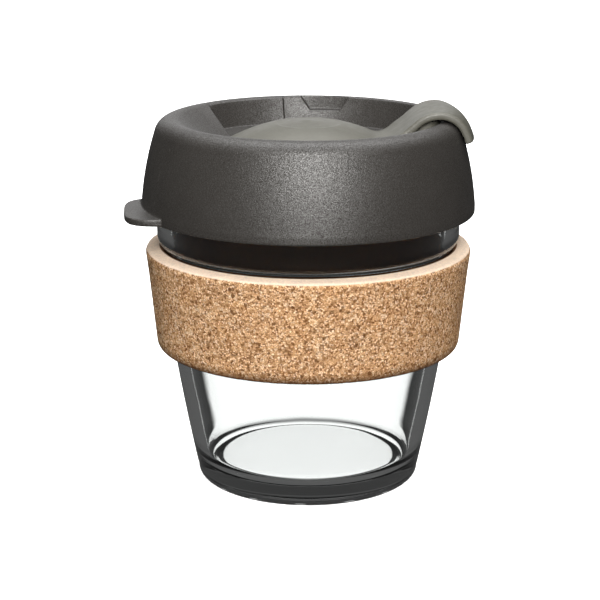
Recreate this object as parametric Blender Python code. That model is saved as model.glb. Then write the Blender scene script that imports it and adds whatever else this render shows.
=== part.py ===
"""Glass coffee cup with a cork band, a press-on lid and a swivelling soft plug.

Metres, +Z up.  The origin is the centre of the glass's flat bottom.  +X points along the plug's arm when
it is closed.  Outlines are written in millimetres and scaled by MM.  The glass and its band are measured
from the bottom of the glass, the lid and the plug from the lid's own bottom edge.
"""
import math

import bmesh
import bpy

MM = 0.001
GAP = 0.3                        # clearance between neighbouring pieces

# Glass
FLOOR_THICKNESS = 5.2
FLOOR_FILLET = 6.0
BASE_FILLET = 2.2
WALL_THICKNESS = 3.6
NECK_RADIUS = 42.75
RIM_HEIGHT = 88.0
TAPER_START = 31.45              # outer radius of the taper carried down to the bottom
TAPER_SLOPE = 0.215
TAPER_BEND = 0.00075
SEAT_TOP = 68.4                  # under the band the glass is a plainer cone, up to this height
SEAT_RADIUS = 41.3
SHOULDER_TOP = 71.7              # the neck ends in a rounded shoulder just above the band
SHOULDER_BITE = 1.6              # how far the shoulder turns in
BORE_TOP = 72.0                  # the inside widens up to this height

# Cork band
CORK_BOTTOM = 39.2
CORK_TOP = 68.3
CORK_TOP_FALL = 0.5              # the top face slopes down outwards by this much
CORK_TOP_RADIUS = 46.15
CORK_SLOPE = 0.1
CORK_TOP_ROUND = 1.3
CORK_BOTTOM_ROUND = 1.2

# Lid
LID_BASE = 78.5                  # height of the lid's bottom edge when it is on the glass
LID_RADIUS = 47.05
LID_SLOPE = 0.057
LID_BEND = 0.0059
CREST = (38.45, 21.0, 4.6)       # centre radius, centre height and roll radius of the rim
CREST_OUTER_DEG = 17.8
CREST_INNER_DEG = 119.0
RIM_SEAT_RADIUS = 41.3            # inner end of the shoulder that sits on the glass's rim
LID_EDGE_RADIUS = 46.95
LID_EDGE_Z = -0.35               # the wall ends a little below the lid's datum
GRIP_RADIUS = NECK_RADIUS + GAP
SKIRT_RADIUS = NECK_RADIUS - WALL_THICKNESS - GAP
BOSS_THICKNESS = 1.7             # dished floor under the disc
BOWL_UNDER = 15.4                # underside of the flat part of the bowl
WELL_RADIUS = 23.9
WELL_TOP = 18.0
CHANNEL_FLOOR = 17.2
LAND_FLOOR = 17.9
LAND_FOOT = 34.2                 # radius where the bowl's floor meets its steep wall
LAND_EXIT = 36.5                 # radius where that wall meets the rim
CHANNEL_FOOT = 35.0
CHANNEL_EXIT = 37.2
SCOOP_APEX = -16.0               # the thumb scoop is bounded in plan by two lines from this X
SCOOP_SPREAD = 0.5475            # run of those lines in X for each unit of Y
LAND_REACH = 50.0
CHANNEL_SPAN_DEG = (-24.0, 101.5)
STEM_HOLE = 4.5

# Lift tab of the lid: in plan, the end of a rounded tongue that points a little away from -X
TAB_CENTRE = (-38.5, -10.9)
TAB_HALF = (12.5, 14.4)
TAB_TURN_DEG = 5.0
TAB_POWER = 3.6
TAB_SPAN_DEG = (176.5, 212.0)
TAB_ROOT = 45.8
TAB_SHOULDER = 46.6
TAB_BOTTOM = -0.15
TAB_TOP = 1.75

# Dock notch in the rim
NOTCH_DEG = 82.0
NOTCH_TOP_WIDTH = 14.9           # at the height of the rim
NOTCH_LEDGE_WIDTH = 9.1
NOTCH_LEDGE = 21.5
NOTCH_BACK = 38.9
NOTCH_FRONT = 33.0
CUT_TOP = 30.0                   # cutters reach from clear above the lid ...
CUT_BOTTOM = 11.0                # ... to clear below its bowl
OVAL_POWER = 3.0

# Soft plug
DISC_RADIUS = 23.3
DOME_TOP = 24.85
DOME_BEND = 0.0115
DISC_THICKNESS = 2.2
STEM_RADIUS = STEM_HOLE - GAP
FLANGE_RADIUS = 6.8
FLANGE_TOP = 19.8
FLANGE_THICKNESS = 1.3
HINGE_X = 18.2                   # the living hinge between the disc and the arm
HINGE_Z = 21.3
ARM_HALF_WIDTH = 12.0
ARM_ROOT = HINGE_X + GAP / 2
ARM_THICKNESS = 2.1
ARM_EDGE_ROUND = 0.45
HOOK_PLAN_RADIUS = 55.0
HOOK_START = 29.0
HOOK_FULL = 40.0
ROOT_FULL = 18.5                 # the arm is domed across like the disc up to here ...
ROOT_END = 24.5                  # ... and flat across from here
LIP_CENTRE = (31.8, 0.0)         # plan centre of the sip opening and of the stopper over it
SIP_HALF = (2.75, 7.0)
STOPPER_HALF = (4.6, 9.5)
STOPPER_HOLLOW_HALF = (3.2, 8.0)
STOPPER_HOLLOW_TOP = 21.6

SEGMENTS = 64


def clear_scene():
    for item in list(bpy.data.objects):
        bpy.data.objects.remove(item, do_unlink=True)


def material(name, colour, roughness, transmission=0.0):
    made = bpy.data.materials.new(name)
    made.use_nodes = True
    shader = made.node_tree.nodes["Principled BSDF"]
    shader.inputs["Base Color"].default_value = (*colour, 1.0)
    shader.inputs["Roughness"].default_value = roughness
    shader.inputs["Transmission Weight"].default_value = transmission
    shader.inputs["IOR"].default_value = 1.5
    return made


def arc(centre, radius, start_deg, end_deg, steps):
    """Points on a circle, from start to end, both included."""
    points = []
    for i in range(steps + 1):
        angle = math.radians(start_deg + (end_deg - start_deg) * i / steps)
        points.append((centre[0] + radius * math.cos(angle), centre[1] + radius * math.sin(angle)))
    return points


def add_empty(name, place, parent=None):
    """An axis or a datum that pieces are parented to, placed in millimetres."""
    made = bpy.data.objects.new(name, None)
    made.empty_display_size = 10 * MM
    made.location = [value * MM for value in place]
    made.parent = parent
    bpy.context.scene.collection.objects.link(made)
    return made


def add_object(name, mesh, parent, surface=None, smooth=True):
    made = bpy.data.objects.new(name, mesh)
    made.parent = parent
    bpy.context.scene.collection.objects.link(made)
    if surface:
        mesh.materials.append(surface)
    if smooth:
        mesh.shade_smooth()
    return made


def hide_guide(made):
    made.hide_render = True
    made.display_type = "WIRE"
    return made


def turned(name, outline, parent, surface=None, closed=False):
    """Turns an outline about Z with a Screw.  The outline runs down its outer side."""
    shape = bmesh.new()
    points = [shape.verts.new((r * MM, 0.0, z * MM)) for r, z in outline]
    for a, b in zip(points, points[1:]):
        shape.edges.new((a, b))
    if closed:
        shape.edges.new((points[-1], points[0]))
    mesh = bpy.data.meshes.new(name)
    shape.to_mesh(mesh)
    shape.free()
    made = add_object(name, mesh, parent, surface)
    screw = made.modifiers.new("turn", "SCREW")
    screw.axis = "Z"
    screw.steps = SEGMENTS
    screw.render_steps = SEGMENTS
    screw.use_merge_vertices = True
    screw.merge_threshold = 0.00001
    screw.use_smooth_shade = True
    return made


def sector(name, outline, parent, start_deg, end_deg):
    """Turns a closed outline through part of a circle, with both ends closed."""
    shape = bmesh.new()
    start = math.radians(start_deg)
    ring = [shape.verts.new((r * MM * math.cos(start), r * MM * math.sin(start), z * MM)) for r, z in outline]
    face = shape.faces.new(ring)
    sweep = end_deg - start_deg
    steps = max(2, round(sweep / 360.0 * SEGMENTS))
    bmesh.ops.spin(shape, geom=[face] + face.edges[:] + face.verts[:], cent=(0, 0, 0), axis=(0, 0, 1),
                   angle=math.radians(sweep), steps=steps, use_duplicate=False)
    bmesh.ops.recalc_face_normals(shape, faces=shape.faces[:])
    mesh = bpy.data.meshes.new(name)
    shape.to_mesh(mesh)
    shape.free()
    return hide_guide(add_object(name, mesh, parent, smooth=False))


def prism(name, outline, parent, place, low, high):
    """Closed prism over an outline.  place(a, b, c) gives a point from outline values and a height."""
    shape = bmesh.new()
    lower = [shape.verts.new(place(a, b, low)) for a, b in outline]
    upper = [shape.verts.new(place(a, b, high)) for a, b in outline]
    shape.faces.new(lower)
    shape.faces.new(upper)
    for i in range(len(outline)):
        j = (i + 1) % len(outline)
        shape.faces.new((lower[i], lower[j], upper[j], upper[i]))
    bmesh.ops.recalc_face_normals(shape, faces=shape.faces[:])
    mesh = bpy.data.meshes.new(name)
    shape.to_mesh(mesh)
    shape.free()
    return hide_guide(add_object(name, mesh, parent, smooth=False))


def upright(x, y, z):
    """Plan outlines: (x, y) with a height."""
    return (x * MM, y * MM, z * MM)


def sideways(x, z, y):
    """Side outlines: (x, z) with a distance along Y."""
    return (x * MM, y * MM, z * MM)


def boolean(made, tool, operation):
    step = made.modifiers.new(tool.name, "BOOLEAN")
    step.operation = operation
    step.solver = "EXACT"
    step.object = tool


def oval(centre, half, count):
    """A superellipse in plan, between an ellipse and a rectangle."""
    points = []
    for i in range(count):
        angle = 2 * math.pi * (i + 0.5) / count
        c, s = math.cos(angle), math.sin(angle)
        points.append((centre[0] + half[0] * math.copysign(abs(c) ** (2 / OVAL_POWER), c),
                       centre[1] + half[1] * math.copysign(abs(s) ** (2 / OVAL_POWER), s)))
    return points


def glass_radius(z):
    """Outer radius of the glass below the neck: a bent taper, then the cone that the band sits on."""
    if z <= CORK_BOTTOM:
        return TAPER_START + TAPER_SLOPE * z - TAPER_BEND * z * z
    share = (z - CORK_BOTTOM) / (SEAT_TOP - CORK_BOTTOM)
    return glass_radius(CORK_BOTTOM) * (1.0 - share) + SEAT_RADIUS * share


def bore_radius(z):
    """Inner radius of the glass."""
    if z <= CORK_BOTTOM:
        return glass_radius(z) - WALL_THICKNESS
    share = min(1.0, (z - CORK_BOTTOM) / (BORE_TOP - CORK_BOTTOM))
    return bore_radius(CORK_BOTTOM) * (1.0 - share) + (NECK_RADIUS - WALL_THICKNESS) * share


def shoulder():
    """Rounded lower end of the neck, from the top down."""
    points = []
    for angle in (0.0, 20.0, 40.0, 60.0, 80.0):
        turn = math.radians(angle)
        points.append((NECK_RADIUS - SHOULDER_BITE * (1.0 - math.cos(turn)),
                       SHOULDER_TOP - (SHOULDER_TOP - SEAT_TOP - 0.3) * math.sin(turn)))
    return points


def lid_radius(z):
    """Outer radius of the lid's wall above its bottom edge."""
    return LID_RADIUS - LID_SLOPE * z - LID_BEND * z * z


def dome(r, top=DOME_TOP):
    return top - DOME_BEND * r * r


def glass_outline():
    wall_lean = math.degrees(math.atan(TAPER_SLOPE))
    fillet_z = FLOOR_THICKNESS + FLOOR_FILLET
    touch_z = fillet_z - FLOOR_FILLET * math.sin(math.radians(wall_lean))
    fillet_r = glass_radius(touch_z) - WALL_THICKNESS - FLOOR_FILLET * math.cos(math.radians(wall_lean))
    lip = WALL_THICKNESS / 2
    base_r = glass_radius(BASE_FILLET) - BASE_FILLET
    inner = [(bore_radius(z), z) for z in (20.0, 30.0, CORK_BOTTOM, BORE_TOP)]
    outer = shoulder() + [(glass_radius(z), z) for z in (SEAT_TOP, CORK_BOTTOM, 30.0, 20.0, 10.0)]
    return ([(0.0, FLOOR_THICKNESS)]
            + arc((fillet_r, fillet_z), FLOOR_FILLET, -90.0, -wall_lean, 4)
            + inner
            + arc((NECK_RADIUS - lip, RIM_HEIGHT - lip), lip, 180.0, 0.0, 4)
            + outer
            + arc((base_r, BASE_FILLET), BASE_FILLET, 8.0, -90.0, 4)
            + [(0.0, 0.0)])


def cork_radius(z):
    return CORK_TOP_RADIUS + CORK_SLOPE * (z - CORK_TOP)


def cork_outline():
    edge_z = CORK_TOP - CORK_TOP_FALL
    top_r = cork_radius(edge_z) - CORK_TOP_ROUND
    bottom_r = cork_radius(CORK_BOTTOM) - CORK_BOTTOM_ROUND
    inner = [(glass_radius(z) + GAP, z) for z in (CORK_BOTTOM, CORK_TOP)]
    return (inner
            + arc((top_r, edge_z - CORK_TOP_ROUND), CORK_TOP_ROUND, 90.0, 0.0, 3)
            + [(cork_radius(53.5), 53.5)]
            + arc((bottom_r, CORK_BOTTOM + CORK_BOTTOM_ROUND), CORK_BOTTOM_ROUND, 0.0, -90.0, 3))


def lid_outline():
    """The whole lid section with the gentle slope of its smooth side all round."""
    rim_gap = RIM_HEIGHT - LID_BASE + GAP
    relief = rim_gap + 1.6
    boss = DOME_TOP - DISC_THICKNESS - GAP
    under = boss - BOSS_THICKNESS
    dished = (STEM_HOLE, 12.0, 18.0, DISC_RADIUS)
    crest = arc(CREST[:2], CREST[2], CREST_INNER_DEG, CREST_OUTER_DEG, 9)
    wall = [(lid_radius(z), z) for z in (18.0, 13.5, 9.0, 4.5, 0.3)]
    lip = [(LID_EDGE_RADIUS - 0.2, LID_EDGE_Z), (45.5, LID_EDGE_Z), (45.3, 1.4)]
    grip = [(GRIP_RADIUS, 3.4), (GRIP_RADIUS, rim_gap), (RIM_SEAT_RADIUS, rim_gap), (RIM_SEAT_RADIUS, relief)]
    hollow = [(43.6, 12.6), (42.7, 17.0), (42.0, 18.6), (40.5, 19.6), (38.6, 19.3), (37.8, 18.0)]
    skirt = [(SKIRT_RADIUS, 16.0), (SKIRT_RADIUS, 3.2), (SKIRT_RADIUS - 0.5, 2.6), (37.2, 2.6), (37.0, 13.6)]
    bowl_under = [(35.2, BOWL_UNDER), (25.6, BOWL_UNDER)] + [(r, dome(r, under)) for r in reversed(dished)]
    boss_top = [(r, dome(r, boss)) for r in dished]
    well = [(WELL_RADIUS - 0.1, dome(DISC_RADIUS, boss)), (WELL_RADIUS, WELL_TOP)]
    return crest + wall + lip + grip + hollow + skirt + bowl_under + boss_top + well


def bowl_cut(floor, foot, exit_radius):
    """Section of what is cut from the bowl: a flat floor, a rounded foot and a steep wall."""
    start = WELL_RADIUS - 0.4
    crest_top = CREST[1] + CREST[2]
    return [(start, CUT_TOP), (exit_radius, CUT_TOP), (exit_radius, crest_top),
            (exit_radius - 0.2, crest_top - 1.2), (foot + 0.3, floor + 1.5), (foot - 0.3, floor + 0.4),
            (foot - 1.2, floor), (start, floor)]


def scoop_limits():
    """Plan of the region outside the thumb scoop: two slanted lines meet on its -X side."""
    far = SCOOP_APEX - SCOOP_SPREAD * LAND_REACH
    return [(LAND_REACH, -LAND_REACH), (LAND_REACH, LAND_REACH), (far, LAND_REACH), (SCOOP_APEX, 0.0),
            (far, -LAND_REACH)]


def in_tab(x, y):
    """Whether a plan point lies inside the tongue."""
    turn = math.radians(TAB_TURN_DEG)
    dx, dy = x - TAB_CENTRE[0], y - TAB_CENTRE[1]
    along = abs(dx * math.cos(turn) + dy * math.sin(turn)) / TAB_HALF[0]
    across = abs(dy * math.cos(turn) - dx * math.sin(turn)) / TAB_HALF[1]
    return along ** TAB_POWER + across ** TAB_POWER < 1.0


def tab_reach(angle_deg):
    """Radius at which the tongue ends in a direction from the cup's axis, found by halving."""
    c, s = math.cos(math.radians(angle_deg)), math.sin(math.radians(angle_deg))
    low, high = 40.0, 60.0
    for _ in range(30):
        middle = (low + high) / 2
        if in_tab(middle * c, middle * s):
            low = middle
        else:
            high = middle
    return max(low, TAB_SHOULDER)


def tab_outline():
    """Plan of the lift tab, rooted inside the lid's wall."""
    steps = 22
    start, end = TAB_SPAN_DEG
    angles = [start + (end - start) * i / steps for i in range(steps + 1)]
    outer = [(tab_reach(angle), math.radians(angle)) for angle in angles]
    root = [(TAB_ROOT, math.radians(angle)) for angle in (end, (start + end) / 2, start)]
    return [(r * math.cos(turn), r * math.sin(turn)) for r, turn in outer + root]


def notch_place(width, height, out):
    """Places the notch section, drawn across its own axis, at the notch's angle round the rim."""
    angle = math.radians(NOTCH_DEG)
    return ((out * math.cos(angle) - width * math.sin(angle)) * MM,
            (out * math.sin(angle) + width * math.cos(angle)) * MM,
            height * MM)


def notch_outline():
    """Section of the dock notch: a flat ledge with slanted sides."""
    rim = CREST[1] + CREST[2]
    spread = (NOTCH_TOP_WIDTH - NOTCH_LEDGE_WIDTH) / 2 / (rim - NOTCH_LEDGE)
    ledge = NOTCH_LEDGE_WIDTH / 2
    outer = ledge + spread * (CUT_TOP - NOTCH_LEDGE)
    return [(-ledge, NOTCH_LEDGE), (ledge, NOTCH_LEDGE), (outer, CUT_TOP), (-outer, CUT_TOP)]


def build_lid(surface, datum):
    lid = turned("lid", lid_outline(), datum, surface, closed=True)
    land = hide_guide(turned("land_cutter", bowl_cut(LAND_FLOOR, LAND_FOOT, LAND_EXIT), datum, closed=True))
    limits = prism("scoop_limits", scoop_limits(), datum, upright, BOWL_UNDER, CUT_TOP + 2.0)
    channel_section = bowl_cut(CHANNEL_FLOOR, CHANNEL_FOOT, CHANNEL_EXIT)
    channel = sector("channel_cutter", channel_section, datum, *CHANNEL_SPAN_DEG)
    sip = prism("sip_cutter", oval(LIP_CENTRE, SIP_HALF, 20), datum, upright, CUT_BOTTOM, CUT_TOP)
    notch = prism("notch_cutter", notch_outline(), datum, notch_place, NOTCH_FRONT, NOTCH_BACK)
    tab = prism("tab_blank", tab_outline(), datum, upright, TAB_BOTTOM, TAB_TOP)
    boolean(land, limits, "INTERSECT")
    boolean(lid, land, "DIFFERENCE")
    boolean(lid, channel, "DIFFERENCE")
    boolean(lid, sip, "DIFFERENCE")
    boolean(lid, notch, "DIFFERENCE")
    boolean(lid, tab, "UNION")
    return lid


def disc_outline():
    under = DOME_TOP - DISC_THICKNESS
    side = DISC_RADIUS - 0.4
    top = [(r, dome(r)) for r in (6.0, 11.5, 16.5, 20.5, 22.8)]
    edge = [(DISC_RADIUS - 0.2, dome(DISC_RADIUS) - 0.2), (DISC_RADIUS, dome(DISC_RADIUS) - 0.8),
            (DISC_RADIUS, dome(DISC_RADIUS, under) + 0.3), (side, dome(side, under))]
    below = [(r, dome(r, under)) for r in (18.0, 12.0, STEM_RADIUS)]
    flange_bottom = FLANGE_TOP - FLANGE_THICKNESS
    stem = [(STEM_RADIUS, FLANGE_TOP), (FLANGE_RADIUS, FLANGE_TOP), (FLANGE_RADIUS, FLANGE_TOP - 0.5),
            (FLANGE_RADIUS - 1.2, flange_bottom), (0.0, flange_bottom)]
    return [(0.0, DOME_TOP)] + top + edge + below + stem


def build_disc(surface, datum):
    """The domed disc, with the place of the arm's root cut out of it."""
    disc = turned("plug_disc", disc_outline(), datum, surface)
    width = ARM_HALF_WIDTH + GAP
    start = HINGE_X - GAP / 2
    slot = [(start, -width), (LAND_FOOT, -width), (LAND_FOOT, width), (start, width)]
    boolean(disc, prism("root_cutter", slot, datum, upright, CUT_BOTTOM, CUT_TOP), "DIFFERENCE")
    return disc


def arm_top():
    """Upper line of the arm, from the living hinge over the rim to the tip outside."""
    return [(ARM_ROOT, dome(ARM_ROOT)), (20.2, 20.5), (22.0, 20.75), (24.2, 21.95), (26.6, 23.7),
            (28.6, 25.5), (30.4, 26.85), (32.6, 27.9), (35.2, 28.5), (38.0, 28.6), (40.6, 27.9), (42.8, 26.6),
            (44.5, 24.6), (45.5, 22.6), (46.3, 20.4)]


def arm_side(shrink):
    """Closed side outline of the arm, top line out and under line back."""
    top = arm_top()
    depth = ARM_THICKNESS - shrink
    upper, lower = [], []
    for i, (x, z) in enumerate(top):
        before = top[max(0, i - 1)]
        after = top[min(len(top) - 1, i + 1)]
        run = (after[0] - before[0], after[1] - before[1])
        length = math.hypot(*run)
        inward = (run[1] / length, -run[0] / length)
        upper.append((x + inward[0] * shrink, z + inward[1] * shrink))
        lower.append((x + inward[0] * depth, z + inward[1] * depth))
    lower[0] = (ARM_ROOT, lower[0][1])
    upper[0] = (ARM_ROOT, upper[0][1])
    return upper + lower[::-1]


def hook_shift(x, y):
    """The hook is slightly curved in plan, to follow the rim."""
    share = min(1.0, max(0.0, (x - HOOK_START) / (HOOK_FULL - HOOK_START)))
    return -share * y * y / (2 * HOOK_PLAN_RADIUS)


def root_drop(x, y):
    """The root of the arm is domed across, like the disc that it grows from."""
    share = min(1.0, max(0.0, (ROOT_END - x) / (ROOT_END - ROOT_FULL)))
    return -share * DOME_BEND * y * y


def arm_blank(surface, hinge):
    """The arm without its stopper: the side outline repeated across the width and bridged."""
    wide, edge = ARM_HALF_WIDTH, ARM_EDGE_ROUND
    stations = [(-wide, edge), (-wide + edge, 0.0), (-wide / 2, 0.0), (0.0, 0.0), (wide / 2, 0.0),
                (wide - edge, 0.0), (wide, edge)]
    shape = bmesh.new()
    rings = []
    for y, shrink in stations:
        ring = []
        for x, z in arm_side(shrink):
            place = (x + hook_shift(x, y) - HINGE_X, y, z + root_drop(x, y) - HINGE_Z)
            ring.append(shape.verts.new([value * MM for value in place]))
        rings.append(ring)
    count = len(rings[0])
    for a, b in zip(rings, rings[1:]):
        for i in range(count):
            shape.faces.new((a[i], a[(i + 1) % count], b[(i + 1) % count], b[i]))
    shape.faces.new(rings[0])
    shape.faces.new(rings[-1])
    bmesh.ops.triangulate(shape, faces=shape.faces[:])
    bmesh.ops.recalc_face_normals(shape, faces=shape.faces[:])
    mesh = bpy.data.meshes.new("plug_arm")
    shape.to_mesh(mesh)
    shape.free()
    return add_object("plug_arm", mesh, hinge, surface)


def stopper_side():
    """Side outline of the stopper: its top stays inside the arm's thickness."""
    return [(26.0, CUT_BOTTOM), (38.0, CUT_BOTTOM), (38.0, 27.2), (35.0, 27.5), (32.0, 26.8), (29.5, 25.2),
            (27.0, 23.0), (26.0, 22.0)]


def channel_clearance():
    """Section of the room that the stopper and the hook leave for the channel and the rim."""
    floor = CHANNEL_FLOOR + GAP
    over_rim = arc(CREST[:2], CREST[2] + GAP + 0.03, 104.0, CREST_OUTER_DEG, 8)
    beside_rim = lid_radius(18.0) + GAP
    return ([(0.0, floor), (CHANNEL_FOOT - 1.3, floor), (CHANNEL_FOOT - 0.6, floor + 0.4),
             (CHANNEL_FOOT - 0.05, floor + 1.4), (CHANNEL_EXIT - 0.55, 24.2)]
            + over_rim + [(beside_rim, 18.0), (beside_rim, CUT_BOTTOM), (0.0, CUT_BOTTOM)])


def land_clearance():
    """Section of the room that the arm leaves above the bowl's higher floor beside the channel."""
    inner, outer = WELL_RADIUS - 0.7, LAND_FOOT - 0.6
    top = LAND_FLOOR + GAP
    return [(inner, top), (outer, top), (outer, CUT_BOTTOM), (inner, CUT_BOTTOM)]


def build_arm(surface, datum, hinge):
    """The arm with its hollow stopper, which ends just above the bowl's channel."""
    arm = arm_blank(surface, hinge)
    side = prism("stopper_side", stopper_side(), datum, sideways, -ARM_HALF_WIDTH, ARM_HALF_WIDTH)
    plan = oval(LIP_CENTRE, STOPPER_HALF, 28)
    stopper = prism("stopper_blank", plan, datum, upright, CUT_BOTTOM - 1.0, CUT_TOP)
    low_room = hide_guide(turned("land_clearance", land_clearance(), datum, closed=True))
    rim_room = hide_guide(turned("channel_clearance", channel_clearance(), datum))
    hollow = prism("hollow_cutter", oval(LIP_CENTRE, STOPPER_HOLLOW_HALF, 20), datum, upright, CUT_BOTTOM,
                   STOPPER_HOLLOW_TOP)
    boolean(stopper, side, "INTERSECT")
    boolean(arm, low_room, "DIFFERENCE")
    boolean(arm, stopper, "UNION")
    boolean(arm, rim_room, "DIFFERENCE")
    boolean(arm, hollow, "DIFFERENCE")
    return arm


def main():
    clear_scene()
    glass = material("glass", (0.93, 0.96, 0.95), 0.02, transmission=1.0)
    cork = material("cork", (0.60, 0.40, 0.22), 0.85)
    lid_plastic = material("lid_plastic", (0.055, 0.053, 0.050), 0.5)
    plug_rubber = material("plug_rubber", (0.155, 0.155, 0.125), 0.55)
    cup_datum = add_empty("cup_datum", (0.0, 0.0, 0.0))
    lid_datum = add_empty("lid_datum", (0.0, 0.0, LID_BASE))
    arm_hinge = add_empty("arm_hinge", (HINGE_X, 0.0, HINGE_Z), lid_datum)
    turned("glass_cup", glass_outline(), cup_datum, glass)
    turned("cork_band", cork_outline(), cup_datum, cork, closed=True)
    build_lid(lid_plastic, lid_datum)
    build_disc(plug_rubber, lid_datum)
    build_arm(plug_rubber, lid_datum, arm_hinge)


main()
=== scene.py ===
"""Looks of the glass coffee cup: fine meshes, materials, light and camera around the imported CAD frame."""
import math

import bmesh
import bpy
import numpy as np
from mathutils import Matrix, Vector, noise


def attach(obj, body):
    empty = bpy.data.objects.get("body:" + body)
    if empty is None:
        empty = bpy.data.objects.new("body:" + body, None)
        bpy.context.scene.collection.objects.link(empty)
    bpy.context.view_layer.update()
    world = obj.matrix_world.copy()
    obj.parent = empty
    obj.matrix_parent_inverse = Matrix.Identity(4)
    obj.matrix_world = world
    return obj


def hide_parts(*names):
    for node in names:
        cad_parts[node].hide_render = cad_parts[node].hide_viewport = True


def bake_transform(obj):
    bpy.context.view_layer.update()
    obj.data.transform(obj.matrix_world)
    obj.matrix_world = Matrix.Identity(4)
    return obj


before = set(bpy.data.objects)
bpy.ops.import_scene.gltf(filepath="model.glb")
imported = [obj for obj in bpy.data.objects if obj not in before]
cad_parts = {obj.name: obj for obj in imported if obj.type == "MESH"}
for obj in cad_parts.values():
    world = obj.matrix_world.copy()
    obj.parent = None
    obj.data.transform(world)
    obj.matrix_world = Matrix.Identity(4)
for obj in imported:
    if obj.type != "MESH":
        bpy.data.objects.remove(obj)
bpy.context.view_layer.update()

MM = 0.001
GAP = 0.3

# The CAD's driving sizes, in millimetres.
FLOOR_THICKNESS = 5.2
FLOOR_FILLET = 6.0
BASE_FILLET = 2.2
WALL_THICKNESS = 3.6
NECK_RADIUS = 42.75
RIM_HEIGHT = 88.0
SEAT_TOP = 68.4
SEAT_RADIUS = 41.3
SHOULDER_TOP = 71.7
SHOULDER_BITE = 1.6
BORE_TOP = 72.0
CORK_BOTTOM = 39.2
CORK_TOP = 68.3
CORK_TOP_FALL = 0.5
CORK_TOP_ROUND = 1.3
CORK_BOTTOM_ROUND = 1.2
CORK_TOP_RADIUS = 46.15
CORK_SLOPE = 0.1
LID_BASE = 78.5
LID_EDGE_Z = -0.35
CREST = (38.45, 21.0, 4.6)
CREST_OUTER_DEG = 17.8
CREST_INNER_DEG = 119.0
GRIP_RADIUS = NECK_RADIUS + GAP
SKIRT_RADIUS = NECK_RADIUS - WALL_THICKNESS - GAP
WELL_RADIUS = 23.9
WELL_TOP = 18.0
BOWL_UNDER = 15.4
CHANNEL_FLOOR = 17.2
LAND_FLOOR = 17.9
LAND_FOOT, LAND_EXIT = 34.2, 36.5
CHANNEL_FOOT, CHANNEL_EXIT = 35.0, 37.2
SCOOP_APEX = -16.0
SCOOP_SPREAD = 0.5475
SCOOP_SIDE_DEG = 148.0
CHANNEL_SPAN_DEG = (-24.0, 101.5)
STEM_HOLE = 4.5
TAB_CENTRE = (-38.5, -10.9)
TAB_HALF = (12.5, 14.4)
TAB_TURN_DEG = 5.0
TAB_POWER = 3.6
TAB_SIDES_DEG = ((177.0, 3.0), (-152.0, 7.0))
TAB_SHOULDER = 46.97
TAB_BOTTOM = -0.15
TAB_TOP = 1.75
NOTCH_DEG = 82.0
NOTCH_TOP_WIDTH = 14.9
NOTCH_LEDGE_WIDTH = 9.1
NOTCH_LEDGE = 21.5
NOTCH_BACK = 38.9
DISC_RADIUS = 23.3
DOME_TOP = 24.85
DOME_BEND = 0.0115
DISC_THICKNESS = 2.2
FLANGE_RADIUS = 6.8
FLANGE_TOP = 19.8
FLANGE_THICKNESS = 1.3
HINGE_X = 18.2
ARM_HALF_WIDTH = 12.0
ARM_THICKNESS = 2.1
HOOK_PLAN_RADIUS = 55.0
LIP_CENTRE = (31.8, 0.0)
SIP_HALF = (2.75, 7.0)
STOPPER_HALF = (4.6, 9.5)
STOPPER_HOLLOW_HALF = (3.2, 8.0)
STOPPER_HOLLOW_TOP = 21.6
OVAL_POWER = 3.0

# The fineness of the visual meshes.
TURN_STEPS = 288
CORK_STEPS = 640
FINE_STEP_DEG, COARSE_STEP_DEG = 0.2, 0.9
BOWL_COUNT, LIP_COUNT, UNDER_COUNT = 120, 76, 130
PLUG_VOXEL = 0.3

# The camera, in metres and degrees.
CAMERA_PLACE = (-0.0023, -0.4866, (LID_BASE + 106.4) * MM)
CAMERA_PITCH_DEG = 15.39
CAMERA_LENS = 105.5


# ---------------------------------------------------------------- outlines

def glass_radius(z):
    """Outer radius of the glass below the neck."""
    if z <= CORK_BOTTOM:
        return 31.45 + 0.215 * z - 0.00075 * z * z
    share = (z - CORK_BOTTOM) / (SEAT_TOP - CORK_BOTTOM)
    return glass_radius(CORK_BOTTOM) * (1.0 - share) + SEAT_RADIUS * share


def bore_radius(z):
    """Inner radius of the glass."""
    if z <= CORK_BOTTOM:
        return glass_radius(z) - WALL_THICKNESS
    share = min(1.0, (z - CORK_BOTTOM) / (BORE_TOP - CORK_BOTTOM))
    return bore_radius(CORK_BOTTOM) * (1.0 - share) + (NECK_RADIUS - WALL_THICKNESS) * share


def lid_radius(z):
    return 47.05 - 0.057 * z - 0.0059 * z * z


def dome(r, top=DOME_TOP):
    return top - DOME_BEND * r * r


def arc(centre, radius, start_deg, end_deg, steps):
    angles = np.radians(np.linspace(start_deg, end_deg, steps + 1))
    return [(centre[0] + radius * math.cos(a), centre[1] + radius * math.sin(a)) for a in angles]


def softened(points, count, sigma):
    """The outline with its corners rounded off, as count points spaced evenly along it."""
    points = np.array(points, float)
    along = np.concatenate([[0.0], np.cumsum(np.linalg.norm(np.diff(points, axis=0), axis=1))])
    step = 0.05
    fine = np.linspace(0.0, along[-1], max(8, int(along[-1] / step)))
    line = np.stack([np.interp(fine, along, points[:, k]) for k in range(2)], axis=1)
    if sigma > 0:
        reach = int(3 * sigma / step)
        weights = np.exp(-0.5 * (np.arange(-reach, reach + 1) * step / sigma) ** 2)
        weights /= weights.sum()
        before = 2 * line[0] - line[reach:0:-1]
        after = 2 * line[-1] - line[-2:-reach - 2:-1]
        padded = np.concatenate([before, line, after])
        line = np.stack([np.convolve(padded[:, k], weights, "valid") for k in range(2)], axis=1)
    along = np.concatenate([[0.0], np.cumsum(np.linalg.norm(np.diff(line, axis=0), axis=1))])
    even = np.linspace(0.0, along[-1], count)
    return np.stack([np.interp(even, along, line[:, k]) for k in range(2)], axis=1)


# ---------------------------------------------------------------- mesh helpers

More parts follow.
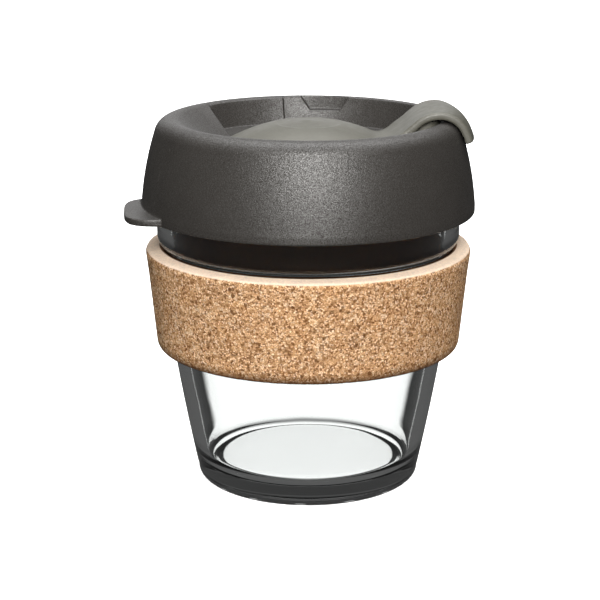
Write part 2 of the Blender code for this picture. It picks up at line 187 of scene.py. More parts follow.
def add_mesh(name, vertices, faces):
    mesh = bpy.data.meshes.new(name)
    mesh.from_pydata([tuple(v) for v in vertices], [], faces)
    mesh.validate()
    shape = bmesh.new()
    shape.from_mesh(mesh)
    bmesh.ops.remove_doubles(shape, verts=shape.verts[:], dist=1e-7)
    bmesh.ops.recalc_face_normals(shape, faces=shape.faces[:])
    shape.to_mesh(mesh)
    shape.free()
    mesh.shade_smooth()
    made = bpy.data.objects.new(name, mesh)
    bpy.context.scene.collection.objects.link(made)
    return made


def ring_mesh(name, grid, closed_outline):
    """A mesh from a grid of points, turns by outline points, closed round the axis."""
    turns, count = grid.shape[:2]
    faces = []
    last = count if closed_outline else count - 1
    for i in range(turns):
        j = (i + 1) % turns
        for k in range(last):
            n = (k + 1) % count
            faces.append((i * count + k, i * count + n, j * count + n, j * count + k))
    return add_mesh(name, grid.reshape(-1, 3) * MM, faces)


def turned(name, outline, closed_outline=False, steps=TURN_STEPS):
    outline = np.array(outline, float)
    angles = np.linspace(0, 2 * math.pi, steps, endpoint=False)
    grid = np.empty((steps, len(outline), 3))
    grid[..., 0] = np.cos(angles)[:, None] * outline[None, :, 0]
    grid[..., 1] = np.sin(angles)[:, None] * outline[None, :, 0]
    grid[..., 2] = outline[None, :, 1]
    return ring_mesh(name, grid, closed_outline)


def column(name, outline, low, high, place):
    """A closed prism over an outline."""
    count = len(outline)
    vertices = [place(a, b, low) for a, b in outline] + [place(a, b, high) for a, b in outline]
    faces = [tuple(range(count)), tuple(range(count, 2 * count))]
    faces += [(i, (i + 1) % count, count + (i + 1) % count, count + i) for i in range(count)]
    return add_mesh(name, np.array(vertices) * MM, faces)


def upright(x, y, z):
    return (x, y, z)


def sideways(x, z, y):
    return (x, y, z)


def oval(centre, half, power, count):
    angles = 2 * math.pi * (np.arange(count) + 0.5) / count
    c, s = np.cos(angles), np.sin(angles)
    x = centre[0] + half[0] * np.sign(c) * np.abs(c) ** (2 / power)
    y = centre[1] + half[1] * np.sign(s) * np.abs(s) ** (2 / power)
    return list(zip(x, y))


def combine(made, tool, operation):
    """Applies a Boolean to made and removes the tool."""
    step = made.modifiers.new("cut", "BOOLEAN")
    step.operation = operation
    step.solver = "MANIFOLD"
    step.object = tool
    apply_modifiers(made)
    bpy.data.objects.remove(tool, do_unlink=True)


def apply_modifiers(made):
    bpy.context.view_layer.update()
    graph = bpy.context.evaluated_depsgraph_get()
    mesh = bpy.data.meshes.new_from_object(made.evaluated_get(graph))
    old = made.data
    made.modifiers.clear()
    made.data = mesh
    bpy.data.meshes.remove(old)


# ---------------------------------------------------------------- glass

def make_glass():
    lean = math.degrees(math.atan(0.215))
    fillet_z = FLOOR_THICKNESS + FLOOR_FILLET
    touch = fillet_z - FLOOR_FILLET * math.sin(math.radians(lean))
    fillet_r = glass_radius(touch) - WALL_THICKNESS - FLOOR_FILLET * math.cos(math.radians(lean))
    lip = WALL_THICKNESS / 2
    base_r = glass_radius(BASE_FILLET) - BASE_FILLET
    floor = [(r, FLOOR_THICKNESS) for r in np.linspace(0.0, fillet_r, 8)[:-1]]
    inner = softened([(bore_radius(z), z) for z in np.linspace(11.5, 84.0, 59)], 60, 2.5).tolist()
    neck = [(NECK_RADIUS, z) for z in np.linspace(85.0, SHOULDER_TOP + 0.5, 12)]
    drop = SHOULDER_TOP - SEAT_TOP - 0.3
    shoulder = [(NECK_RADIUS - SHOULDER_BITE * (1.0 - math.cos(t)), SHOULDER_TOP - drop * math.sin(t))
                for t in np.radians(np.linspace(0.0, 82.0, 14))]
    seat = [(glass_radius(z), z) for z in np.linspace(SEAT_TOP, 4.0, 44)]
    outer = softened(neck + shoulder + seat, 130, 0.25).tolist()
    base = [(r, 0.0) for r in np.linspace(base_r, 0.0, 8)[1:]]
    outline = (floor + arc((fillet_r, fillet_z), FLOOR_FILLET, -90.0, -lean, 16) + inner
               + arc((NECK_RADIUS - lip, RIM_HEIGHT - lip), lip, 180.0, 0.0, 16) + outer
               + arc((base_r, BASE_FILLET), BASE_FILLET, 10.0, -90.0, 12) + base)
    made = turned("glass_tumbler", outline)
    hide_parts("glass_cup")
    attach(made, "cup")
    made.data.materials.append(glass_material())
    return made


# ---------------------------------------------------------------- cork

def make_cork():
    def radius(z):
        return CORK_TOP_RADIUS + CORK_SLOPE * (z - CORK_TOP)
    outline = [(glass_radius(z) + GAP, z) for z in np.linspace(CORK_BOTTOM + 0.4, CORK_TOP - 0.2, 12)]
    top, bottom = CORK_TOP_ROUND, CORK_BOTTOM_ROUND
    outline += [(glass_radius(CORK_TOP) + GAP + 0.25, CORK_TOP)]
    edge_z = CORK_TOP - CORK_TOP_FALL
    outline += arc((radius(edge_z) - top, edge_z - top), top, 84.0, 5.0, 8)
    outline += [(radius(z), z) for z in (60.0, 50.0, CORK_BOTTOM + bottom)]
    outline += arc((radius(CORK_BOTTOM) - bottom, CORK_BOTTOM + bottom), bottom, -5.0, -90.0, 8)
    outline += [(glass_radius(CORK_BOTTOM) + GAP + 0.5, CORK_BOTTOM)]
    outline.append(outline[0])
    even = softened(outline, 150, 0.12)[:-1]
    made = turned("cork_ring", even, closed_outline=True, steps=CORK_STEPS)
    normals = [vertex.normal.copy() for vertex in made.data.vertices]
    for vertex, outward in zip(made.data.vertices, normals):
        place = vertex.co / MM
        flat = math.hypot(place.x, place.y)
        if flat < glass_radius(place.z) + GAP + 0.6 and CORK_BOTTOM + 0.6 < place.z < CORK_TOP - 0.6:
            continue
        grain = noise.noise(place * 0.9) * 0.5 + noise.noise(place * 2.1) * 0.5
        pit = max(0.0, noise.noise(place * 1.3 + Vector((7.0, 3.0, 1.0))) - 0.35)
        depth = 0.06 * (1.0 - grain) + 0.45 * pit
        if place.z > CORK_TOP - CORK_TOP_FALL - 0.4:
            depth *= 0.15
        vertex.co = (place - outward * depth) * MM
    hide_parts("cork_band")
    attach(made, "cup")
    made.data.materials.append(cork_material())
    return made


# ---------------------------------------------------------------- lid

def crest_arc(inner_deg):
    return arc(CREST[:2], CREST[2], inner_deg, CREST_OUTER_DEG, 40)


def bowl_smooth():
    """Bowl section on the smooth side: one gentle slope up to the rim."""
    return [(WELL_RADIUS, WELL_TOP), *crest_arc(CREST_INNER_DEG)]


def bowl_cut(floor, foot, exit_radius, ledge=None):
    """Bowl section with a flat floor and a steep wall.  A ledge height adds the dock notch."""
    foot_point = (foot, floor)
    exit_z = CREST[1] + math.sqrt(CREST[2] ** 2 - (exit_radius - CREST[0]) ** 2)
    start = [(WELL_RADIUS, floor), foot_point]
    if ledge is None or ledge >= exit_z - 0.1:
        exit_deg = math.degrees(math.atan2(exit_z - CREST[1], exit_radius - CREST[0]))
        return start + crest_arc(exit_deg)
    share = (ledge - floor) / (exit_z - floor)
    wall_r = foot + share * (exit_radius - foot)
    back_z = CREST[1] + math.sqrt(CREST[2] ** 2 - (NOTCH_BACK - CREST[0]) ** 2)
    back_deg = math.degrees(math.atan2(back_z - CREST[1], NOTCH_BACK - CREST[0]))
    return start + [(wall_r, ledge), (NOTCH_BACK - 0.3, ledge)] + crest_arc(back_deg)


def ramp_weight(distance, soft):
    """0 well below zero distance and 1 well above it, with a smooth ramp between."""
    t = np.clip(distance / soft + 0.5, 0.0, 1.0)
    return t * t * (3 - 2 * t)


def channel_weight(angle, radius):
    """1 inside the channel's span of angles and 0 outside."""
    middle = (CHANNEL_SPAN_DEG[0] + CHANNEL_SPAN_DEG[1]) / 2
    half = (CHANNEL_SPAN_DEG[1] - CHANNEL_SPAN_DEG[0]) / 2
    off = half - abs((angle - middle + 180.0) % 360.0 - 180.0)
    return ramp_weight(math.radians(off) * radius, 0.5)


def land_weight(angle, radius):
    """0 inside the thumb scoop and 1 outside it.  Two slanted lines bound the scoop in plan."""
    x = radius * math.cos(math.radians(angle))
    y = radius * abs(math.sin(math.radians(angle)))
    distance = (x - SCOOP_APEX + SCOOP_SPREAD * y) / math.hypot(1.0, SCOOP_SPREAD)
    return ramp_weight(distance, 1.6)


def notch_ledge(angle):
    """Ledge height of the dock notch at an angle, which rises at its slanted sides."""
    across = abs(math.radians(angle - NOTCH_DEG)) * 37.5
    rise = (CREST[1] + CREST[2] - NOTCH_LEDGE) / ((NOTCH_TOP_WIDTH - NOTCH_LEDGE_WIDTH) / 2)
    return NOTCH_LEDGE + max(0.0, across - NOTCH_LEDGE_WIDTH / 2) * rise


def tab_reach(angle):
    """Radius at which the tab's tongue ends in a direction from the axis, found by halving."""
    c, d = math.cos(math.radians(angle)), math.sin(math.radians(angle))
    turn = math.radians(TAB_TURN_DEG)
    low, high = 40.0, 60.0
    for _ in range(24):
        middle = (low + high) / 2
        dx, dy = middle * c - TAB_CENTRE[0], middle * d - TAB_CENTRE[1]
        along = abs(dx * math.cos(turn) + dy * math.sin(turn)) / TAB_HALF[0]
        across = abs(dy * math.cos(turn) - dx * math.sin(turn)) / TAB_HALF[1]
        if along ** TAB_POWER + across ** TAB_POWER < 1.0:
            low = middle
        else:
            high = middle
    return max(low, TAB_SHOULDER)


def lid_angles():
    """Angles round the lid, closer together at the steps, the notch and the tab."""
    busy = [(CHANNEL_SPAN_DEG[0], 1.6), (CHANNEL_SPAN_DEG[1], 1.6), (NOTCH_DEG, 12.5)]
    busy += [(SCOOP_SIDE_DEG, 10.0), (-SCOOP_SIDE_DEG, 10.0)]
    busy += [(angle, reach) for angle, reach in TAB_SIDES_DEG]
    angles, angle = [], -180.0
    while angle < 180.0 - 1e-6:
        angles.append(angle)
        look = angle + 0.4
        near = any(abs((look - middle + 180.0) % 360.0 - 180.0) < reach for middle, reach in busy)
        angle += FINE_STEP_DEG if near else COARSE_STEP_DEG
    return angles


def lid_section(angle, parts):
    """The lid's whole closed section at an angle."""
    deep = parts["channel"]
    if abs(angle - NOTCH_DEG) < 14.0:
        notched = bowl_cut(CHANNEL_FLOOR, CHANNEL_FOOT, CHANNEL_EXIT, notch_ledge(angle))
        deep = softened(notched, BOWL_COUNT, 0.22)
    channel = channel_weight(angle, 35.0)
    cut = parts["land"] * (1 - channel) + deep * channel
    land = land_weight(angle, parts["smooth"][:, :1])
    bowl = parts["smooth"] * (1 - land) + cut * land
    reach = tab_reach(angle)
    wall = [(lid_radius(z), z) for z in np.linspace(21.9, 3.0, 24)]
    foot = TAB_BOTTOM if reach > TAB_SHOULDER + 0.05 else LID_EDGE_Z - 0.05
    edge = [(46.96, TAB_TOP), (reach, TAB_TOP), (reach, foot), (45.5, LID_EDGE_Z - 0.05)]
    lip = softened(wall + edge, LIP_COUNT, 0.22)
    return np.concatenate([bowl, lip[1:], parts["under"][1:]])


def make_lid():
    rim_gap = RIM_HEIGHT - LID_BASE + GAP
    boss = DOME_TOP - DISC_THICKNESS - GAP
    under_top = boss - 1.7
    under = [(45.5, LID_EDGE_Z - 0.05), (45.3, 1.4), (GRIP_RADIUS, 3.4), (GRIP_RADIUS, rim_gap)]
    under += [(41.3, rim_gap), (41.3, rim_gap + 1.6), (43.6, 12.6), (42.7, 17.0), (42.0, 18.6)]
    under += [(40.5, 19.6), (38.6, 19.3), (37.8, 18.0), (SKIRT_RADIUS, 16.0), (SKIRT_RADIUS, 3.2)]
    under += [(SKIRT_RADIUS - 0.5, 2.6), (37.2, 2.6), (37.0, 13.6), (35.2, BOWL_UNDER), (25.6, BOWL_UNDER)]
    under += [(r, dome(r, under_top)) for r in (DISC_RADIUS, 20.0, 16.0, 12.0, 8.0, STEM_HOLE)]
    under += [(r, dome(r, boss)) for r in (STEM_HOLE, 8.0, 12.0, 16.0, 20.0, DISC_RADIUS)]
    under += [(WELL_RADIUS - 0.05, dome(DISC_RADIUS, boss)), (WELL_RADIUS, 16.9)]
    parts = {
        "smooth": softened(bowl_smooth(), BOWL_COUNT, 0.3),
        "land": softened(bowl_cut(LAND_FLOOR, LAND_FOOT, LAND_EXIT), BOWL_COUNT, 0.22),
        "channel": softened(bowl_cut(CHANNEL_FLOOR, CHANNEL_FOOT, CHANNEL_EXIT), BOWL_COUNT, 0.22),
        "under": softened(under, UNDER_COUNT, 0.1),
    }
    angles = lid_angles()
    sections = np.array([lid_section(a, parts) for a in angles])
    turn = np.radians(angles)
    grid = np.empty((*sections.shape[:2], 3))
    grid[..., 0] = np.cos(turn)[:, None] * sections[..., 0]
    grid[..., 1] = np.sin(turn)[:, None] * sections[..., 0]
    grid[..., 2] = sections[..., 1] + LID_BASE
    made = ring_mesh("lid_shell", grid, closed_outline=True)
    opening = oval(LIP_CENTRE, SIP_HALF, OVAL_POWER, 72)
    sip = column("sip_cutter", opening, LID_BASE + 14.0, LID_BASE + 30.0, upright)
    combine(made, sip, "DIFFERENCE")
    made.data.shade_smooth()
    made.data.set_sharp_from_angle(angle=math.radians(50))
    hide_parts("lid")
    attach(made, "lid")
    made.data.materials.clear()
    made.data.materials.append(lid_material())
    return made


# ---------------------------------------------------------------- plug

def arm_line():
    """Upper line of the arm, from inside the disc over the rim to the tip outside."""
    root = [(13.0, dome(13.0) - 0.5), (16.0, dome(16.0) - 0.15), (18.35, dome(18.35))]
    rise = [(20.2, 20.5), (22.0, 20.75), (24.2, 21.95), (26.6, 23.7), (28.6, 25.5), (30.4, 26.85)]
    hook = [(32.6, 27.9), (35.2, 28.5), (38.0, 28.6), (40.6, 27.9), (42.8, 26.6), (44.5, 24.6)]
    return root + rise + hook + [(45.5, 22.6), (46.3, 20.4)]


def arm_mesh():
    """The arm alone: its section swept along the line, with rounded edges."""
    line = softened(arm_line(), 130, 0.7)
    tangent = np.gradient(line, axis=0)
    tangent /= np.linalg.norm(tangent, axis=1)[:, None]
    inward = np.stack([tangent[:, 1], -tangent[:, 0]], axis=1)
    across = np.linspace(-1.0, 1.0, 41)
    across = np.sign(across) * (1 - (1 - np.abs(across)) ** 1.6)
    rings = []
    for side, order in ((0.0, 1), (1.0, -1)):
        for s in across[::order]:
            y = s * ARM_HALF_WIDTH
            edge = max(0.0, abs(y) - (ARM_HALF_WIDTH - 0.5)) / 0.5
            shrink = 0.5 * (1 - math.sqrt(max(0.0, 1 - edge * edge)))
            depth = shrink + side * (ARM_THICKNESS - 2 * shrink)
            x = line[:, 0] + inward[:, 0] * depth
            z = line[:, 1] + inward[:, 1] * depth
            hook = np.clip((x - 29.0) / 11.0, 0.0, 1.0)
            root = np.clip((24.5 - x) / 6.0, 0.0, 1.0)
            x = x - hook * y * y / (2 * HOOK_PLAN_RADIUS)
            z = z - root * DOME_BEND * y * y
            rings.append(np.stack([x, np.full_like(x, y), z + LID_BASE], axis=1))
    grid = np.array(rings)
    turns, count = grid.shape[:2]
    faces = []
    for i in range(turns):
        j = (i + 1) % turns
        for k in range(count - 1):
            faces.append((i * count + k, i * count + k + 1, j * count + k + 1, j * count + k))
    half = turns // 2
    for end in (0, count - 1):
        for i in range(half - 1):
            a, b = i * count + end, (i + 1) * count + end
            c, d = (turns - 2 - i) * count + end, (turns - 1 - i) * count + end
            faces.append((a, b, c, d))
    return add_mesh("arm_blank", grid.reshape(-1, 3) * MM, faces)


def stopper_mesh():
    low = 16.0
    side_outline = [(26.0, low), (38.0, low), (38.0, 27.0), (35.0, 27.3), (32.0, 26.6), (29.5, 25.0),
                    (27.0, 22.8), (26.0, 21.8)]
    side = column("side", [(x, z + LID_BASE) for x, z in side_outline], -11.0, 11.0, sideways)
    outside = oval(LIP_CENTRE, STOPPER_HALF, OVAL_POWER, 96)
    made = column("stopper", outside, LID_BASE + 10.0, LID_BASE + 32.0, upright)
    combine(made, side, "INTERSECT")
    low = CHANNEL_FLOOR + GAP + 0.05
    wall_r = float(lid_radius(18.0)) + GAP + 0.1
    under = [(0.0, low), (CHANNEL_FOOT - 1.3, low), (CHANNEL_FOOT - 0.6, low + 0.4)]
    under += [(CHANNEL_FOOT - 0.1, low + 1.4), (CHANNEL_EXIT - 0.6, 24.2)]
    under += arc(CREST[:2], CREST[2] + GAP + 0.1, 104.0, CREST_OUTER_DEG, 24)
    under += [(wall_r, 18.0), (wall_r, 10.0), (0.0, 10.0)]
    clear = turned("clear", [(r, z + LID_BASE) for r, z in under], steps=192)
    combine(made, clear, "DIFFERENCE")
    inside = oval(LIP_CENTRE, STOPPER_HOLLOW_HALF, OVAL_POWER, 72)
    hollow = column("hollow", inside, LID_BASE + 12.0, LID_BASE + STOPPER_HOLLOW_TOP, upright)
    combine(made, hollow, "DIFFERENCE")
    return made


def disc_mesh():
    under = DOME_TOP - DISC_THICKNESS
    medallion = [(0.0, DOME_TOP - 0.22), (8.6, dome(8.6) - 0.22), (9.2, dome(9.2))]
    side = DISC_RADIUS - 0.4
    top = [(r, dome(r)) for r in np.linspace(10.0, DISC_RADIUS - 0.7, 20)]
    edge = [(DISC_RADIUS - 0.2, dome(DISC_RADIUS) - 0.15), (DISC_RADIUS, dome(DISC_RADIUS) - 0.7),
            (DISC_RADIUS, dome(DISC_RADIUS, under) + 0.4), (side, dome(side, under) + 0.05)]
    below = [(r, dome(r, under)) for r in np.linspace(22.0, STEM_HOLE - GAP, 16)]
    bottom = FLANGE_TOP - FLANGE_THICKNESS
    stem = [(STEM_HOLE - GAP, FLANGE_TOP), (FLANGE_RADIUS, FLANGE_TOP), (FLANGE_RADIUS, FLANGE_TOP - 0.5),
            (FLANGE_RADIUS - 1.2, bottom), (0.0, bottom)]
    outline = [(r, z + LID_BASE) for r, z in medallion + top + edge + below + stem]
    return turned("disc_blank", outline, steps=240)


def make_plug():
    """One soft moulding: disc, arm and stopper fused, smoothed, then slit beside the arm's root."""
    made = disc_mesh()
    for tool in (arm_mesh(), stopper_mesh()):
        combine(made, tool, "UNION")
    remesh = made.modifiers.new("fuse", "REMESH")
    remesh.mode = "VOXEL"
    remesh.voxel_size = PLUG_VOXEL * MM
    smooth = made.modifiers.new("melt", "SMOOTH")
    smooth.factor = 0.5
    smooth.iterations = 5
    apply_modifiers(made)
    for side in (-1, 1):
        middle = side * (ARM_HALF_WIDTH + 0.22)
        slit = column("slit", [(HINGE_X - 1.0, middle - 0.17), (34.0, middle - 0.17), (34.0, middle + 0.17),
                               (HINGE_X - 1.0, middle + 0.17)], LID_BASE + 12.0, LID_BASE + 21.0, upright)
        combine(made, slit, "DIFFERENCE")
    made.data.shade_smooth()
    made.data.set_sharp_from_angle(angle=math.radians(50))
    made.name = "soft_plug"
    made.data.materials.clear()
    made.data.materials.append(plug_material())
    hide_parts("plug_disc", "plug_arm")
    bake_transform(made)
    return made


# ---------------------------------------------------------------- materials

class Nodes:
    """A short way to write a node tree."""

    def __init__(self, name):
        self.material = bpy.data.materials.new(name)
        self.material.use_nodes = True
        self.tree = self.material.node_tree
        self.shader = self.tree.nodes["Principled BSDF"]
        self.place = self.add("ShaderNodeTexCoord").outputs["Object"]

    def add(self, kind, **values):
        node = self.tree.nodes.new(kind)
        for key, value in values.items():
            setattr(node, key, value)
        return node

    def link(self, source, target):
        self.tree.links.new(source, target)

    def set(self, node, **values):
        for key, value in values.items():
            node.inputs[key.replace("_", " ")].default_value = value

    def noise(self, scale, detail=4.0, roughness=0.55, source=None):
        node = self.add("ShaderNodeTexNoise")
        self.set(node, Scale=scale, Detail=detail, Roughness=roughness)
        self.link(source or self.place, node.inputs["Vector"])
        return node.outputs["Fac"]

    def cells(self, scale, feature="F1", source=None):
        node = self.add("ShaderNodeTexVoronoi", feature=feature)
        self.set(node, Scale=scale)
        self.link(source or self.place, node.inputs["Vector"])
        return node

    def ramp(self, source, *stops):
        node = self.add("ShaderNodeValToRGB")
        elements = node.color_ramp.elements
        while len(elements) < len(stops):
            elements.new(0.5)
        for element, (position, colour) in zip(elements, stops):
            element.position = position
            element.color = (*colour, 1.0) if len(colour) == 3 else colour
        self.link(source, node.inputs["Fac"])
        return node.outputs["Color"]

    def span(self, source, low, high, to_low, to_high):
        node = self.add("ShaderNodeMapRange")
        for i, value in enumerate((low, high, to_low, to_high)):
            node.inputs[i + 1].default_value = value
        self.link(source, node.inputs[0])
        return node.outputs[0]

    def mix(self, factor, a, b, mode="MIX"):
        node = self.add("ShaderNodeMix", data_type="RGBA", blend_type=mode)
        for socket, value in ((node.inputs[0], factor), (node.inputs[6], a), (node.inputs[7], b)):
            if isinstance(value, bpy.types.NodeSocket):
                self.link(value, socket)
            else:
                socket.default_value = value if isinstance(value, float) else (*value, 1.0)
        return node.outputs[2]

    def maths(self, operation, a, b):
        node = self.add("ShaderNodeMath", operation=operation)
        for socket, value in zip(node.inputs, (a, b)):
            if isinstance(value, bpy.types.NodeSocket):
                self.link(value, socket)
            else:
                socket.default_value = value
        return node.outputs[0]

    def bump(self, height, strength, distance, normal=None):
        node = self.add("ShaderNodeBump")
        self.set(node, Strength=strength, Distance=distance)
        self.link(height, node.inputs["Height"])
        if normal:
            self.link(normal, node.inputs["Normal"])
        return node.outputs["Normal"]


def grey(value):
    return (value, value, value)


def glass_material():
    n = Nodes("clear_glass")
    n.set(n.shader, Transmission_Weight=1.0, IOR=1.5)
    tint = n.mix(n.noise(30.0, 2.0), (0.965, 0.985, 0.975), (0.985, 0.995, 0.99))
    n.link(tint, n.shader.inputs["Base Color"])
    n.link(n.span(n.noise(220.0, 3.0), 0.35, 0.7, 0.0, 0.02), n.shader.inputs["Roughness"])
    waves = n.bump(n.noise(80.0, 1.0), 0.07, 0.0005)
    n.link(waves, n.shader.inputs["Normal"])
    return n.material


def cork_material():
    n = Nodes("agglomerated_cork")
    warp = n.add("ShaderNodeVectorMath", operation="MULTIPLY_ADD")
    wobble = n.add("ShaderNodeTexNoise")
    n.set(wobble, Scale=1100.0, Detail=2.0)
    n.link(n.place, wobble.inputs["Vector"])
    n.link(wobble.outputs["Color"], warp.inputs[0])
    warp.inputs[1].default_value = grey(0.0007)
    n.link(n.place, warp.inputs[2])
    place = warp.outputs[0]
    fine = n.cells(2100.0, source=place)
    fine_split = n.add("ShaderNodeSeparateColor")
    n.link(fine.outputs["Color"], fine_split.inputs[0])
    chip = n.cells(1300.0, source=place)
    chip_split = n.add("ShaderNodeSeparateColor")
    n.link(chip.outputs["Color"], chip_split.inputs[0])
    tan = n.ramp(fine_split.outputs[0], (0.0, (0.22, 0.110, 0.048)), (0.3, (0.50, 0.285, 0.142)),
                 (0.7, (0.74, 0.455, 0.250)), (1.0, (0.98, 0.730, 0.490)))
    chips = n.mix(n.span(chip_split.outputs[0], 0.0, 1.0, 0.0, 0.3), tan, (0.70, 0.440, 0.25))
    light = n.mix(n.span(chip_split.outputs[1], 0.88, 0.91, 0.0, 0.6), chips, (0.95, 0.73, 0.52))
    brown = n.mix(n.span(fine_split.outputs[1], 0.84, 0.88, 0.0, 0.85), light, (0.13, 0.055, 0.022))
    dark = n.mix(n.span(chip_split.outputs[2], 0.972, 0.982, 0.0, 0.85), brown, (0.10, 0.045, 0.020))
    edge = n.cells(2100.0, "DISTANCE_TO_EDGE", place).outputs["Distance"]
    seams = n.mix(n.span(edge, 0.0, 0.17, 0.75, 0.0), dark, (0.15, 0.065, 0.028))
    mottle = n.mix(n.span(n.noise(160.0, 5.0), 0.3, 0.7, 0.0, 0.3), seams, (0.80, 0.56, 0.34), "SOFT_LIGHT")
    split = n.add("ShaderNodeSeparateXYZ")
    n.link(n.place, split.inputs[0])
    x, y, z = split.outputs
    bottom = CORK_BOTTOM * MM
    top_edge = (CORK_TOP - CORK_TOP_FALL) * MM
    # Painted shade: the cork is blended to dark brown towards its rounded lower edge, where shade falls
    # under the ring.
    shaded_edge = n.span(z, bottom + 0.0002, bottom + 0.0034, 0.95, 0.0)
    shaded = n.mix(shaded_edge, mottle, (0.08, 0.035, 0.015))
    # Painted light: the cork's top face is blended towards a pale tan, standing for the overhead light
    # falling on it.
    top_face_painted_light = n.mix(0.25, (1.0, 0.83, 0.67), mottle)
    top = n.mix(n.span(z, top_edge - 0.00065, top_edge - 0.00035, 0.0, 1.0), shaded, top_face_painted_light)
    # Painted shade: the cork's inner face against the glass is made dark brown, standing for the shade
    # inside the neck.
    flat = n.maths("SQRT", n.maths("ADD", n.maths("MULTIPLY", x, x), n.maths("MULTIPLY", y, y)), 0.0)
    taper = n.maths("MULTIPLY", n.maths("SUBTRACT", z, bottom), CORK_SLOPE)
    bore_painted_shade = n.span(n.maths("SUBTRACT", flat, taper), 0.0392, 0.0394, 1.0, 0.0)
    inner = n.mix(bore_painted_shade, top, (0.16, 0.075, 0.036))
    n.link(inner, n.shader.inputs["Base Color"])
    n.link(n.span(fine_split.outputs[2], 0.0, 1.0, 0.75, 0.95), n.shader.inputs["Roughness"])
    n.shader.inputs["Specular IOR Level"].default_value = 0.08
    height = n.maths("ADD", n.span(edge, 0.0, 0.15, 0.0, 0.6), n.noise(2600.0, 3.0))
    n.link(n.bump(height, 0.9, 0.0003), n.shader.inputs["Normal"])
    return n.material


def lid_material():
    n = Nodes("lid_matte_plastic")
    patches = n.span(n.noise(60.0, 4.0), 0.3, 0.7, 0.0, 1.0)
    base = n.mix(patches, (0.020, 0.0180, 0.016), (0.025, 0.0228, 0.0206))
    # Painted highlight: convex edges and ridges of the lid are made lighter, standing for the light lines
    # along them.
    painted_highlight_pointiness = n.add("ShaderNodeNewGeometry").outputs["Pointiness"]
    edge = n.mix(n.span(painted_highlight_pointiness, 0.52, 0.60, 0.0, 0.4), base, (0.055, 0.051, 0.047))
    n.link(edge, n.shader.inputs["Base Color"])
    grain = n.noise(4200.0, 1.0, 0.6)
    n.link(n.span(grain, 0.3, 0.7, 0.37, 0.54), n.shader.inputs["Roughness"])
    specks = n.span(n.noise(3600.0, 1.0, 0.6), 0.35, 0.65, 0.15, 0.9)
    n.link(specks, n.shader.inputs["Specular IOR Level"])
    n.link(n.bump(grain, 0.55, 0.00014), n.shader.inputs["Normal"])
    return n.material


def plug_material():
    n = Nodes("plug_soft_rubber")
    patches = n.span(n.noise(90.0, 4.0), 0.3, 0.7, 0.0, 1.0)
    base = n.mix(patches, (0.062, 0.060, 0.048), (0.074, 0.072, 0.058))
    # Painted highlight: convex edges of the plug are made lighter, standing for the light lines along them.
    painted_highlight_pointiness = n.add("ShaderNodeNewGeometry").outputs["Pointiness"]
    edge = n.mix(n.span(painted_highlight_pointiness, 0.52, 0.62, 0.0, 0.4), base, (0.15, 0.145, 0.12))
    n.link(edge, n.shader.inputs["Base Color"])
    n.link(n.span(n.noise(420.0, 3.0), 0.3, 0.7, 0.42, 0.52), n.shader.inputs["Roughness"])
    n.link(n.bump(n.noise(1900.0, 2.0), 0.2, 0.0001), n.shader.inputs["Normal"])
    return n.material


# ---------------------------------------------------------------- stage

def make_floor():
    size = 3.0
    mesh = bpy.data.meshes.new("floor")
    corners = [(-size, -size, 0.0), (size, -size, 0.0), (size, size, 0.0), (-size, size, 0.0)]
    mesh.from_pydata(corners, [], [(0, 1, 2, 3)])
    floor = bpy.data.objects.new("floor", mesh)
    bpy.context.scene.collection.objects.link(floor)
    floor.location.z = -0.0002
    n = Nodes("pale_floor")
    tone = n.mix(n.noise(3.0, 3.0), grey(0.86), grey(0.90))
    n.link(tone, n.shader.inputs["Base Color"])
    n.shader.inputs["Roughness"].default_value = 0.7
    n.link(tone, n.shader.inputs["Emission Color"])
    n.shader.inputs["Emission Strength"].default_value = 0.8
    mesh.materials.append(n.material)
    for seen in ("visible_diffuse", "visible_glossy", "visible_transmission"):
        setattr(floor, seen, False)


def add_light(name, place, target, size, power, tint=(1.0, 1.0, 1.0)):
    data = bpy.data.lights.new(name, "AREA")
    data.shape = "RECTANGLE"
    data.size, data.size_y = size
    data.energy = power
    data.color = tint
    light = bpy.data.objects.new(name, data)
    light.location = place
    aim = Vector(target) - Vector(place)
    light.rotation_mode = "QUATERNION"
    light.rotation_quaternion = aim.to_track_quat("-Z", "Y")
    light.visible_transmission = False
    bpy.context.scene.collection.objects.link(light)


def make_lights():
    middle = (0.0, 0.0, 0.07)
    add_light("front", (0.03, -1.15, 0.62), middle, (0.40, 0.60), 32.0, (1.0, 0.985, 0.96))
    add_light("back", (-0.1, 1.5, 0.42), middle, (1.0, 0.7), 2.6)
    add_light("top", (0.0, 0.25, 1.35), middle, (1.5, 1.2), 27.0)


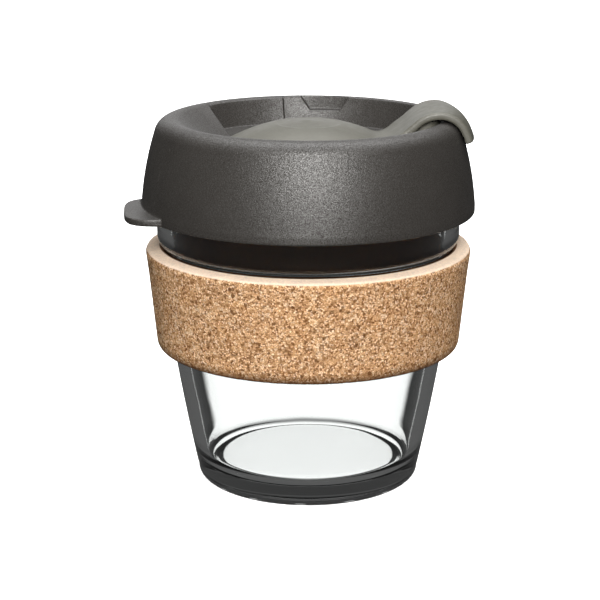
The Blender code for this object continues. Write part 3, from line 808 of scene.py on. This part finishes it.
def make_world():
    """A pale studio for the camera.  Rays straight through the glass meet white panels with dark gaps all
    round, below the horizon, and thin strips above it.  Everything else is lit by a soft overhead glow."""
    world = bpy.data.worlds.new("studio")
    world.use_nodes = True
    bpy.context.scene.world = world
    tree = world.node_tree

    def add(kind, **values):
        node = tree.nodes.new(kind)
        for key, value in values.items():
            setattr(node, key, value)
        return node

    def maths(operation, a, b=0.0):
        node = add("ShaderNodeMath", operation=operation)
        for socket, value in zip(node.inputs, (a, b)):
            if isinstance(value, bpy.types.NodeSocket):
                tree.links.new(value, socket)
            else:
                socket.default_value = value
        return node.outputs[0]

    def span(source, low, high, to_low, to_high):
        node = add("ShaderNodeMapRange", interpolation_type="SMOOTHSTEP")
        tree.links.new(source, node.inputs[0])
        for i, value in enumerate((low, high, to_low, to_high)):
            target = node.inputs[i + 1]
            if isinstance(value, bpy.types.NodeSocket):
                tree.links.new(value, target)
            else:
                target.default_value = value
        return node.outputs[0]

    split = add("ShaderNodeSeparateXYZ")
    tree.links.new(add("ShaderNodeTexCoord").outputs["Generated"], split.inputs[0])
    x, y, z = split.outputs
    azimuth = maths("ARCTAN2", y, x)
    panels = span(maths("COSINE", maths("MULTIPLY", azimuth, 8.0)), -0.65, -0.15, 0.02, 1.35)
    path = add("ShaderNodeLightPath").outputs
    panels = maths("MULTIPLY", panels, span(z, -0.80, -0.55, 0.25, 1.0))
    panels = maths("MULTIPLY", panels, span(z, -0.27, -0.19, 1.0, 0.06))
    floor_glow = span(z, -0.35, -0.05, 0.10, 0.03)
    straight = maths("MULTIPLY", path["Is Transmission Ray"], maths("LESS_THAN", path["Glossy Depth"], 0.5))
    below = span(straight, 0.0, 1.0, floor_glow, panels)
    strip_wave = maths("COSINE", maths("ADD", maths("MULTIPLY", azimuth, 20.0), 1.0))
    strips = span(strip_wave, 0.70, 0.95, 0.02, 0.9)
    above = span(straight, 0.0, 1.0, 0.04, strips)
    low = span(z, 0.10, 0.20, below, above)
    high = span(z, 0.45, 0.80, low, 0.65)
    seen = span(path["Is Camera Ray"], 0.0, 1.0, high, 1.0)
    tree.links.new(seen, tree.nodes["Background"].inputs["Strength"])
    tree.nodes["Background"].inputs["Color"].default_value = (1.0, 1.0, 1.0, 1.0)


def make_camera():
    data = bpy.data.cameras.new("camera")
    data.sensor_width = 36.0
    data.lens = CAMERA_LENS
    camera = bpy.data.objects.new("camera", data)
    camera.location = CAMERA_PLACE
    camera.rotation_euler = (math.radians(90.0 - CAMERA_PITCH_DEG), 0.0, 0.0)
    bpy.context.scene.collection.objects.link(camera)
    bpy.context.scene.camera = camera


make_camera()
make_lights()
make_world()
make_floor()
make_glass()
make_cork()
make_lid()
make_plug()
bpy.context.scene.view_settings.view_transform = "Standard"
